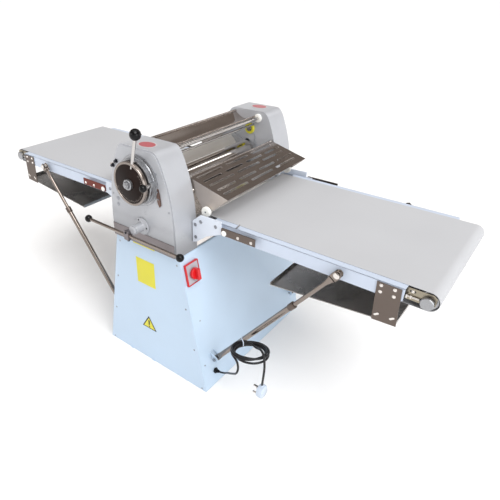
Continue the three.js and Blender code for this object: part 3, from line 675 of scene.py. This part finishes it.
def cabinet_pieces():
    for node in ("front_panel", "rear_panel", "right_panel", "left_panel", "top_plate"):
        dress(node, "cabinet", 0.5)
    dress("base_frame", "grey")
    dress("drive_motor", "motor", 1.0)
    for end, sy in ENDS:
        for z in (570, 386, 200, 10):
            for sx in (-1, 1):
                screw((sx * (panel_x(z) - 20), FRONT_Y, z), FACE, 4.2)
        piece(f"{end}_panel_screws", "bolt", "root", mirror=(1, sy))
        for x in (-148, -11):
            prism(arc(x, 1.0, 9, 0, 180, 10), (FRONT_Y - 3, FRONT_Y - 0.1))
        piece(f"{end}_panel_tabs", "cabinet", "root", mirror=(1, sy), bevel=0.6)
    labels = ([(-67, 529), (33, 529), (33, 411), (-67, 411)], [(-75, 599), (42, 599), (42, 590), (-75, 590)])
    decal("instruction_labels", labels, 0.1, 0.8, "yellow", 0.2)
    decal("caution_border", [[(-21.5, 249), (20, 182), (-63, 182)]], 0.1, 0.6, "ink")
    decal("caution_field", [[(-21.5, 239), (11.5, 186.5), (-54.5, 186.5)]], 0.6, 0.9, "yellow")
    mark = (circle(-21.5, 193.5, 3.6, 16), [(-17, 226), (-26, 226), (-24.2, 201), (-18.8, 201)])
    decal("caution_mark", mark, 0.9, 1.2, "ink")
    for hand in (-1, 1):
        for y, z in ((357, 120), (336, 320), (336, 520)):
            for sx in (-1, 1):
                screw((sx * (panel_x(z) + 0.1), hand * y, z), (sx * OUT.x, 0, OUT.z), 3.4)
    piece("side_panel_screws", "bolt", "root")


def tilt_out(z):
    """Turns a mesh drawn with +X out of the wall into the leaning frame of the right panel."""
    turn = Matrix.Translation((panel_x(z), 0, z)) @ Matrix.Rotation(-LEAN, 4, "Y")
    bmesh.ops.transform(drawing, matrix=turn, verts=drawing.verts)


def switch_pieces():
    """Red rotary isolator on the right panel, drawn about its own height."""
    y, z = -332, 528
    frame_outer, frame_inner = (
        [(y - half, -tall), (y + half, -tall), (y + half, tall), (y - half, tall)]
        for half, tall in ((36, 44), (32.5, 40.5)))
    prism(frame_outer, (0.3, 12), holes=[frame_inner], plane="yz")
    tilt_out(z)
    piece("switch_frame", "red", "root", ["switch_plate"], bevel=2.0, segments=3)
    prism([(a * 0.995 + y * 0.005, b * 0.99) for a, b in frame_inner], (0.4, 9.5),
          holes=[circle(y, 0, 5.6)], plane="yz")
    tilt_out(z)
    piece("switch_face", "label_grey", "root", bevel=0.6)
    lathe((9.6, y, 0), (1, 0, 0),
          [(6, -4), (6, 3), (22, 3.4), (23, 5), (23, 14), (21, 16), (9, 16.6)], 40)
    box((24, 42), (y - 7, y + 7), (-22, 22))
    tilt_out(z)
    piece("switch_handle", "red", "switch_knob_body", ["switch_knob"],
          bevel=1.6, segments=3)


# ---- heads


def head_outline(inset):
    """Outline of a head from its foot on the right, over the top, to its foot on the left."""
    foot, top = 165 - inset, HEAD_TOP - inset
    side = [(foot, 605.3 + inset)]
    side += bezier([side[-1], (foot, 770), (155 - inset, 840), (112 - inset, 942 - inset * 0.3)], 22)
    side += bezier([side[-1], (93.9 - inset * 0.7, top), (72 - inset * 0.5, top)], 12)
    return side + [(-x, z) for x, z in reversed(side)]


UPPER_ROD, LOWER_ROD = (51, 956), (29, 926)
UPPER_ROLLER_Z, LOWER_ROLLER_Z = 811, 722
SHIM = Vector((12, 276, 907))


def head_pieces():
    for end, sy in ENDS:
        prism(head_outline(0), (-391, -284), holes=[head_outline(9)])
        holes = [slot((0, UPPER_ROLLER_Z), (0, 848), 12.6), circle(0, LOWER_ROLLER_Z, 14.5, 32)]
        holes += [circle(*UPPER_ROD, 7.4), circle(*LOWER_ROD, 4.9)]
        holes += [circle(x, 873, 4.5, 16) for x in (-128, 128)]
        prism(head_outline(0), (-284, -276), holes=holes)
        piece(f"{end}_head_casting", "head", "root", [f"{end}_head_housing"],
              (1, sy), bevel=3.0, segments=3)
        bores = [circle(4, 870, 12.5), circle(4, 693, 8.5)] if end == "near" else []
        prism(head_outline(5), (HEAD_FACE_Y, -391.3), holes=bores)
        piece(f"{end}_head_lid", "head", "root", [f"{end}_head_cover"],
              (1, sy), bevel=1.6)
        for x, z in ((89, 912), (-89, 912), (141, 785), (-141, 785), (148, 640), (-148, 640)):
            screw((x, HEAD_FACE_Y, z), FACE, 4.2)
        piece(f"{end}_lid_screws", "bolt", "root", mirror=(1, sy))
        prism(ellipse(8, -347, 38, 30), (HEAD_TOP + 0.05, HEAD_TOP + 0.8), plane="xy")
        piece(f"{end}_badge_plate", "badge_plate", "root", mirror=(1, sy), bevel=0.3)
        prism(ellipse(8, -347, 33, 24), (HEAD_TOP + 0.8, HEAD_TOP + 1.7), plane="xy")
        piece(f"{end}_badge", "badge", "root", mirror=(1, sy), bevel=0.5)
        lathe((UPPER_ROD[0], -276, UPPER_ROD[1]), -FACE, [(18, 0.05), (18, 4), (15, 6.5), (8, 6.9)], 36)
        piece(f"{end}_rod_boss", "nylon", "root", mirror=(1, sy))
    prism([(-159, 607.5), (159, 607.5), (159.5, 660), (-159.5, 660)],
          (HEAD_FACE_Y - 0.2, HEAD_FACE_Y - 1.6))
    piece("kick_strip", "kick", "root", bevel=0.4)
    for x, z in ((-117, 770), (-119, 746)):
        lathe((x, HEAD_FACE_Y, z), FACE,
              [(7.4, 0.05), (7.4, 1.0), (6.4, 1.5), (5.2, 1.4), (4.6, 0.4)], 24)
    piece("lid_plugs", "bolt", "root")
    for x, z in ((-125, 897), (-106, 916)):
        bolt((x, HEAD_FACE_Y, z), FACE, 5.5, 9)
    piece("shoulder_bolts", "dark_bolt", "root", bevel=0.4)
    lathe(SHIM, FACE, [(12, 0.05), (23.5, 0.05), (23.5, 6), (21.5, 8), (14, 8), (12, 6)], 40, closed=True)
    piece("shim_ring", "yellow", "root")
    lathe(SHIM, FACE, [(11.5, 0.05), (11.5, 11), (9.5, 13), (4, 13.2)], 32)
    piece("shim_stud", "kick", "root")
    route = [(34, 274, 888), (42, 272.5, 872), (40, 272, 856), (50, 272.5, 842), (58, 274, 830)]
    sweep(smooth_path(route, 5), 1.6, 10)
    piece("sensor_lead", "grey", "root")


# ---- between the heads


def bay_pieces():
    for name, (x, z), radius in (("upper", UPPER_ROD, 7), ("lower", LOWER_ROD, 4.5)):
        rod((x, -283, z), (x, 283, z), radius)
        piece(f"{name}_rod", "chrome", "root", [f"{name}_tie_rod"])
    for name, z, journal, reach in (("upper", UPPER_ROLLER_Z, 12, 283), ("lower", LOWER_ROLLER_Z, 14, 288)):
        half = [(journal, -reach), (journal, -267.5), (40, -267), (42.5, -266), (44, -264.2)]
        lathe((0, 0, z), -FACE, both_ways(half), 96)
        if name == "lower":
            pulley = [(14, -14), (14, 0), (38, 0.2), (38, 7.8), (14, 8), (14, 14)]
            lathe((0, -298, z), FACE, pulley, 32)
        piece(f"{name}_pressing_roller", "roller", f"{name}_roller_body", [f"{name}_roller"])
    cheek = [(-97, 862), (-86, 871), (-30, 858), (24, 838), (27, 797), (14, 787), (-14, 787), (-52, 818)]
    for sy in (-1, 1):
        prism(cheek, (sy * 270, sy * 275.5), holes=[circle(0, UPPER_ROLLER_Z, 12.4, 32)])
    piece("yoke_cheeks", "head", "carriage", ["roller_yoke"], bevel=0.6)
    blade = [(-90, 862), (-87, 864), (-70, 849), (-46.5, 824), (-48, 822), (-71, 845.5)]
    prism(blade, (-269.8, 269.8))
    piece("scraper_blade", "blade", "carriage", bevel=0.3)
    upper = [(-68, 970), *bezier([(-68, 970), (-14, 922), (36, 962)], 28)]
    lower = [(x + 0.6, z - 1.6) for x, z in upper]
    prism([*upper, *reversed(lower)], (-275.6, 275.6))
    for x, z, radius in ((-68, 971, 5), (37, 962.5, 3.5)):
        rod((x, -275.6, z), (x, 275.6, z), radius, 28, 0.3)
    piece("flour_trough", "polished", "root", ["flour_tray"])
    for side, sx in SIDES:
        bed = [(159, 605.6), (161, 605.6), (161, 742), (48, 757), (48, 755), (159, 740.2)]
        prism(bed, (-275.5, 275.5))
        piece(f"{side}_bed_sheet", "bright", "root", [f"{side}_bed_plate"],
              (sx, sx), bevel=0.6)


# ---- controls on the near head

DIAL = Vector((4, HEAD_FACE_Y, 870))
INDEX_X, INDEX_Z = 86, 880
LEVER_LEAN = math.radians(76)
LEVER = Vector((math.cos(LEVER_LEAN), 0, math.sin(LEVER_LEAN)))
LEVER_ROOT = DIAL + FACE * 40
DIRECTION = Vector((4, HEAD_FACE_Y, 693))
SWING_Y, SWING_Z = -453, 670


def dial_pieces():
    """Index ring and dial, with the lever that turns it."""
    profile = [(58, 0.3), (92, 0.3), (92, 5.2), (91, 6), (84.5, 6.2), (84, 7), (84, 13), (82, 14),
               (82, 17), (84, 18), (84, 27.5), (82.5, 29), (58, 29)]
    lathe(DIAL, FACE, profile, 96, closed=True)
    piece("index_ring_body", "zinc", "root", ["index_ring"])
    lathe((INDEX_X, HEAD_FACE_Y - 0.3, INDEX_Z), FACE, [(4.6, 0), (10, 0), (10, 28), (9, 29), (4.6, 29)],
          32, closed=True)
    piece("index_ear", "zinc", "root")
    profile = [(12, -8), (12, 32.5), (74, 32.5), (77.5, 33.6), (78.5, 35), (78.5, 44.2), (77.2, 46.4),
               (75.4, 47), (71.6, 47), (70.2, 46.4), (69.6, 45.2)]
    lathe(DIAL, FACE, profile, 128)
    piece("dial_rim", "dial_rim", "dial", ["dial_wheel"])
    lathe(DIAL, FACE,
          [(69.5, 44.2), (69.5, 45.1), (68.6, 45.5), (24, 45.7), (21, 46.4), (20, 46.6)], 128)
    piece("dial_face", "dial", "dial")
    lathe(DIAL, FACE, [(19, 45), (19, 55.4), (17.6, 57), (15, 57.2), (14, 56.6)], 40)
    lathe(DIAL, FACE, [(12.6, 56.4), (12.6, 63.4), (11, 65)], 6, phase=0.3)
    lathe(DIAL, FACE, [(6.4, 62), (6.4, 66.4), (5.2, 67.6), (2, 67.8)], 24)
    piece("dial_nut", "zinc", "dial", bevel=0.5)
    for i in range(41):
        a = math.radians(-160 + i * 5)
        r0, r1 = (57, 65) if i % 5 == 0 else (60.5, 65)
        across = Vector((-math.sin(a), 0, math.cos(a))) * 0.55
        ends = [DIAL + Vector((r * math.cos(a), -45.6, r * math.sin(a))) for r in (r0, r1)]
        loft([[p - across, p + across, p + across + FACE * 0.25, p - across + FACE * 0.25] for p in ends])
    piece("dial_marks", "dial_rim", "dial")
    rod(LEVER_ROOT + LEVER * 58, LEVER_ROOT + LEVER * 168, 6.3, 32, 1.0)
    piece("lever_rod", "chrome", "dial")
    knob_ball(LEVER_ROOT + LEVER * 182, LEVER, 19.5)
    piece("lever_ball", "black", "dial", ["adjust_lever"])


def index_pieces():
    """Spring pin with its grip, and the stop plate beside the dial."""
    rod((INDEX_X, -401.2, INDEX_Z), (INDEX_X, -446, INDEX_Z), 3.9, 24)
    lathe((INDEX_X, -430, INDEX_Z), FACE, [(4.5, 0), (6.4, 0.6), (6.4, 5), (5, 6), (5, 12)], 24)
    piece("index_pin", "chrome", "index_knob_body")
    knob_ball((INDEX_X, -455, INDEX_Z), FACE, 13)
    piece("index_grip", "black", "index_knob_body", ["index_knob"])
    stop = [(90.5, 866), (99, 860), (104, 838), (108, 803), (101, 795), (93, 812), (90.5, 824)]
    prism(stop, (HEAD_FACE_Y - 0.2, HEAD_FACE_Y - 5))
    piece("index_stop", "stop", "root", bevel=0.8)
    for x, z in ((97, 852), (99.5, 826)):
        bolt((x, HEAD_FACE_Y - 5, z), FACE, 2.8, 2.2, washer=False)
    piece("index_stop_screws", "bolt", "root")


def direction_pieces():
    """Boss, hub and cross bar of the lever that sets the way the belts run."""
    profile = [(8.4, 0.3), (33, 0.3), (34, 1.2), (34, 4.5), (32.5, 6), (21, 7.4), (19, 9), (18.2, 12),
               (17.2, 41.6), (15.8, 43.6), (8.4, 43.8)]
    lathe(DIRECTION, FACE, profile, 56, closed=True)
    piece("direction_boss", "head", "root", ["direction_bushing"])
    for a in map(math.radians, (118, 238, 358)):
        screw(DIRECTION + Vector((26 * math.cos(a), -6.0, 26 * math.sin(a))), FACE, 4.0)
    piece("boss_screws", "dark_bolt", "root")
    profile = [(8, 387), (8, 439.5), (15.8, 439.6), (17, 440.8), (17, 446), (15.4, 447.5), (7, 447.8),
               (6, 447)]
    lathe((DIRECTION.x, 0, DIRECTION.z), FACE, profile, 48)
    piece("direction_hub", "head", "direction_handle")
    clamp = [(-28, 654), (-5, 654), (-5, 682), (-8, 690), (-25, 690), (-28, 686)]
    prism(clamp, (-440.2, -462))
    piece("direction_clamp", "kick", "direction_handle", bevel=1.2)
    lathe((-16.5, -451, 654.5), (0, 0, -1), [(5.6, 0), (5.6, 6), (4.6, 8.3)], 20)
    lathe((-16.5, -462, 684), FACE, [(4.4, -0.4), (4.4, 1.6), (3.4, 2.4), (2, 1.2)], 16)
    piece("clamp_screws", "dark_bolt", "direction_handle")
    rod((-228, SWING_Y, SWING_Z), (228, SWING_Y, SWING_Z), 6, 32)
    piece("direction_rod", "strut", "direction_handle", ["direction_lever"])
    for sx in (-1, 1):
        knob_ball((sx * 238, SWING_Y, SWING_Z), (sx, 0, 0), 14.5)
    piece("direction_grips", "black", "direction_handle")


# ---- guards

HINGE_X, HINGE_Z = 128, 873
GUARD_RUN, GUARD_FALL = 297 - HINGE_X, HINGE_Z - 831
WHEEL_X, WHEEL_Z = 211, 767.5
SLOT_RADIUS = 5.5


def guard_slots():
    """Rows of long slots; a row is given by its distance from the hinge, slot length and first end."""
    rows = ((20, 145, -252), (50, 107, -250), (79, 145, -252), (114, 107, -250), (143, 145, -252))
    holes = []
    for at, length, y in rows:
        while y + length <= 260:
            holes.append(slot((at, y + SLOT_RADIUS), (at, y + length - SLOT_RADIUS), SLOT_RADIUS, 6))
            y += length + 24
    return holes


def guard_pieces():
    drop = math.atan2(GUARD_FALL, GUARD_RUN)
    long = math.hypot(GUARD_FALL, GUARD_RUN)
    for side, sx in SIDES:
        body = f"{side}_guard_body"
        sheet = [(0, -270), (long, -270), (long, 270), (0, 270)]
        prism(sheet, (-1, 1), holes=guard_slots(), plane="xy")
        turn = Matrix.Translation((HINGE_X, 0, HINGE_Z)) @ Matrix.Rotation(drop, 4, "Y")
        bmesh.ops.transform(drawing, matrix=turn, verts=drawing.verts)
        rod((HINGE_X, -269, HINGE_Z), (HINGE_X, 269, HINGE_Z), 2.6, 16, 0.3)
        piece(f"{side}_guard_lid", "guard", body, [f"{side}_guard"], (sx, sx),
              bevel=0.35)
        for end, hand in ENDS:
            mirror = (sx, hand)
            prism([(126, 872), (137, 850), (185, 771), (239, 780), (297, 830.5)], (-268, -270))
            piece(f"{side}_guard_cheek_{end}", "cheek", body, mirror=mirror, bevel=0.4)
            rod((HINGE_X, -258, HINGE_Z), (HINGE_X, -282, HINGE_Z), 4, 24)
            piece(f"{side}_guard_pin_{end}", "chrome", body, mirror=mirror)
            tyre = [(6, 0), (16.5, 0), (18.6, 1.4), (18.6, 11.2), (17, 13), (5, 13.4), (4.4, 12.4)]
            lathe((WHEEL_X, -271, WHEEL_Z), FACE, tyre, 44)
            piece(f"{side}_guard_wheel_{end}", "nylon", body, mirror=mirror)
            lathe((WHEEL_X, -267, WHEEL_Z), FACE, [(3.2, 0), (3.2, 17.2), (2.2, 18)], 16)
            piece(f"{side}_guard_axle_{end}", "bolt", body, mirror=mirror)


# ---- conveyor tables


DRIVE_X, END_X, DRUM_Z = 212, 975, 717


def belt_loop(radius):
    """Outline of a belt round its two drums."""
    return arc(END_X, DRUM_Z, radius, -90, 90, 20) + arc(DRIVE_X, DRUM_Z, radius, 90, 270, 20)


def table_pieces():
    for side, sx in SIDES:
        table = f"{side}_table"
        rail = [(196, 704), (200, 700), (905, 700), (915, 706), (915, 745.9), (204, 745.9), (196, 738)]
        for sy in (-1, 1):
            prism(rail, (sy * 282, sy * 284), holes=[circle(DRIVE_X, DRUM_Z, 8.5)])
        box((246, 915), (-284, 284), (743.9, 745.9))
        for x in (400, 800):
            box((x, x + 30), (-283, 283), (702, 706))
        piece(f"{side}_frame_sheet", "rail", table, [f"{side}_table_frame"],
              (sx, sx), bevel=0.7)
        prism(belt_loop(31), (-259, 259), holes=[belt_loop(29.3)])
        piece(f"{side}_belt", "belt", table, [f"{side}_conveyor_belt"], (sx, sx), bevel=0.4)
        half = [(8, -292), (8, -262.6), (26, -262), (28.7, -260)]
        lathe((DRIVE_X, 0, DRUM_Z), -FACE, both_ways(half), 56)
        piece(f"{side}_drive_drum", "zinc", f"{side}_drive_roller_body", [f"{side}_drive_roller"],
              (sx, sx))
        half = [(17.4, -277), (19, -275.4), (19, -267), (18, -266), (8.4, -265.8), (8, -265.4),
                (8, -255.6), (26, -255), (28.7, -253)]
        lathe((END_X, 0, DRUM_Z), -FACE, both_ways(half), 56)
        piece(f"{side}_end_drum", "zinc", f"{side}_end_roller_body", [f"{side}_end_roller"],
              (sx, sx), bevel=0.3)
        tray_pieces(side, sx, table)
        for end, hand in ENDS:
            table_end_pieces(side, end, (sx, hand), table)


def tray_pieces(side, sx, table):
    section = [(494, 592), (494, 580), (915, 622), (915, 634), (913.5, 634), (913.5, 623.5), (495.5, 581.5),
               (495.5, 592)]
    prism(section, (-284.6, 284.6))
    for sy in (-1, 1):
        rod((496, sy * 283.6, 581.6), (913, sy * 283.6, 623.2), 1.6, 14, 0.2)
    piece(f"{side}_tray_sheet", "tray", table, [f"{side}_catch_tray"], (sx, sx),
          bevel=0.3)
    for end, hand in ENDS:
        plate = [(837, 743.5), (908, 742.5), (916, 616), (844, 612)]
        prism(plate, (-285, -287.1))
        piece(f"{side}_tray_plate_{end}", "end_plate", table, mirror=(sx, hand), bevel=0.3)
        for x, z in ((851, 734), (890, 734), (852, 713), (891, 712)):
            bolt((x, -287.1, z), FACE, 3.6, 2.6)
        for x, z in ((856, 636), (901, 640)):
            prism(slot((x - 4, z - 3), (x + 4, z + 3), 3.4), (-287.2, -289.4))
        piece(f"{side}_tray_bolts_{end}", "bright", table, mirror=(sx, hand), bevel=0.3)


def table_end_pieces(side, end, mirror, table):
    outline = [(167, 642), (190, 652), (232, 686), (296, 714), (324, 716), (324, 742), (296, 742),
               (296, 763), (204, 761), (167, 729)]
    prism(outline, (-298.5, -303.5), holes=[circle(312, 727, 7.4)])
    box((165.8, 169.8), (-277, -299.5), (646, 725))
    piece(f"{side}_hinge_bracket_{end}", "hinge", "root", [f"{side}_hinge_plate_{end}"],
          mirror, bevel=1.1, segments=3)
    for x, z in ((181, 718), (206, 736), (272, 737), (182, 668)):
        bolt((x, -303.5, z), FACE, 4.6, 2.6)
    piece(f"{side}_bracket_bolts_{end}", "bolt", "root", mirror=mirror, bevel=0.3)
    prism([(302, 717), (438, 717), (438, 745), (302, 745), (299, 742), (299, 720)], (-304, -308))
    box((385, 425), (-284.4, -305), (716.2, 731.8))
    material = "reddish" if (side, end) == ("left", "near") else "end_plate"
    piece(f"{side}_hinge_strap_{end}", material, table, [f"{side}_strap_{end}"], mirror,
          bevel=0.6)
    pin = [(6.6, 0), (7, 0.5), (7, 18), (10, 18.2), (10, 20.4), (8.6, 21.4), (2, 21.8)]
    lathe((312, -290, 727), FACE, pin, 28)
    piece(f"{side}_hinge_pin_{end}", "nylon", table, mirror=mirror)
    for x in (370, 423):
        bolt((x, -308, 728), FACE, 3.8, 2.6)
    piece(f"{side}_strap_bolts_{end}", "bright", table, mirror=mirror, bevel=0.3)
    plate = [(885, 744.4), (885, 712), (915, 706), (990, 706), (996, 712), (996, 736), (986, 744.4)]
    slots = [slot((961, DRUM_Z), (981, DRUM_Z), 8.5), slot((926, 735), (936, 735), 3.4)]
    prism(plate, (-261.5, -264.5), holes=slots)
    piece(f"{side}_end_bracket_{end}", "bracket", table, mirror=mirror, bevel=0.4)
    rod((917, -268.4, 719), (953, -268.4, 719), 2.8, 16)
    lathe((928, -268.4, 719), (1, 0, 0), [(5.2, 0), (5.2, 4.2)], 6)
    box((916, 921), (-264.6, -272.5), (713, 725))
    bolt((931, -264.6, 735), FACE, 3.4, 2.4)
    piece(f"{side}_tension_screw_{end}", "bright", table, mirror=mirror, bevel=0.3)
    if end == "near" and side == "right":
        rod((332, -281, 732), (358, -281, 763), 2.6, 18)
        piece("catch_pin", "chrome", table)


# ---- struts


def along_strut(s, across=0.0, y=0.0):
    """Point at a distance from the foot pin along the strut's axis."""
    side = Vector((STRUT_AXIS.z, 0, -STRUT_AXIS.x))
    return STRUT_FOOT + STRUT_AXIS * s + side * across + Vector((0, y, 0))


def strut_outline(spots):
    """Flat outline from distances along the strut and across it."""
    return [(p.x, p.z) for p in (along_strut(s, across) for s, across in spots)]


def strap_loops(sections):
    """Loft sections of a flattened tube: distance, half width across, half thickness along Y."""
    turns = [2 * math.pi * i / 28 for i in range(28)]
    return [[along_strut(s, wide * math.cos(a), thick * math.sin(a)) for a in turns]
            for s, wide, thick in sections]


def strut_pieces():
    long = STRUT_LENGTH
    for side, sx in SIDES:
        for end, hand in ENDS:
            mirror = (sx, hand)
            tube_body = f"{side}_{end}_tube_body"
            rod_body = f"{side}_{end}_rod_body"
            loft(strap_loops([(-12, 5, 3.6), (-9, 9.5, 4.2), (0, 12.6, 4.6), (10, 12.8, 5), (26, 12, 7),
                                  (44, 10.6, 10), (60, 10.5, 10.5), (506, 10.5, 10.5)]))
            piece(f"{side}_strut_barrel_{end}", "strut", tube_body, [f"{side}_strut_{end}_tube"],
                  mirror)
            collar = [(10.6, 0), (12, 0.4), (12.5, 2), (12.5, 24), (11.6, 25.6), (8.2, 26.4)]
            lathe(along_strut(504), STRUT_AXIS, collar, 36)
            piece(f"{side}_strut_collar_{end}", "end_plate", tube_body, mirror=mirror)
            pin = [(4.6, 0), (5, 0.4), (5, 31), (7.5, 31.2), (7.5, 34), (6, 35.2)]
            lathe(STRUT_FOOT - FACE * 15, FACE, pin, 20)
            piece(f"{side}_foot_pin_{end}", "bolt", tube_body, mirror=mirror)
            rod(along_strut(420), along_strut(long - 60), 7.5, 32, 0.5)
            loft(strap_loops([(long - 66, 7.5, 7.5), (long - 56, 7.6, 7.5), (long - 40, 10.5, 5.6),
                                  (long - 28, 12.6, 5), (long - 18, 13, 4.8)]))
            fork = strut_outline([(long - 24, -13), (long + 4, -13), (long + 13, -6), (long + 13, 6),
                                  (long + 4, 13), (long - 24, 13)])
            for low, high in ((-8.5, -5.5), (5.5, 8.5)):
                prism(fork, (STRUT_FOOT.y + low, STRUT_FOOT.y + high))
            bridge = strut_outline([(long - 25, -13), (long - 20, -13), (long - 20, 13), (long - 25, 13)])
            prism(bridge, (STRUT_FOOT.y - 8.5, STRUT_FOOT.y + 8.5))
            piece(f"{side}_strut_stem_{end}", "stem", rod_body, [f"{side}_strut_{end}_rod"],
                  mirror, bevel=0.5)
            pin = [(5.2, 0), (6, 0.8), (6, 27), (10, 27.2), (10, 30), (8, 31.4)]
            lathe(along_strut(long, 0, 16.6), FACE, pin, 24)
            lathe(along_strut(long, 0, 5.4), FACE, [(9.5, 0), (9.5, 10.8)], 28)
            piece(f"{side}_top_pin_{end}", "bright", rod_body, mirror=mirror)


cabinet_pieces()
switch_pieces()
head_pieces()
bay_pieces()
dial_pieces()
index_pieces()
direction_pieces()
guard_pieces()
table_pieces()
strut_pieces()
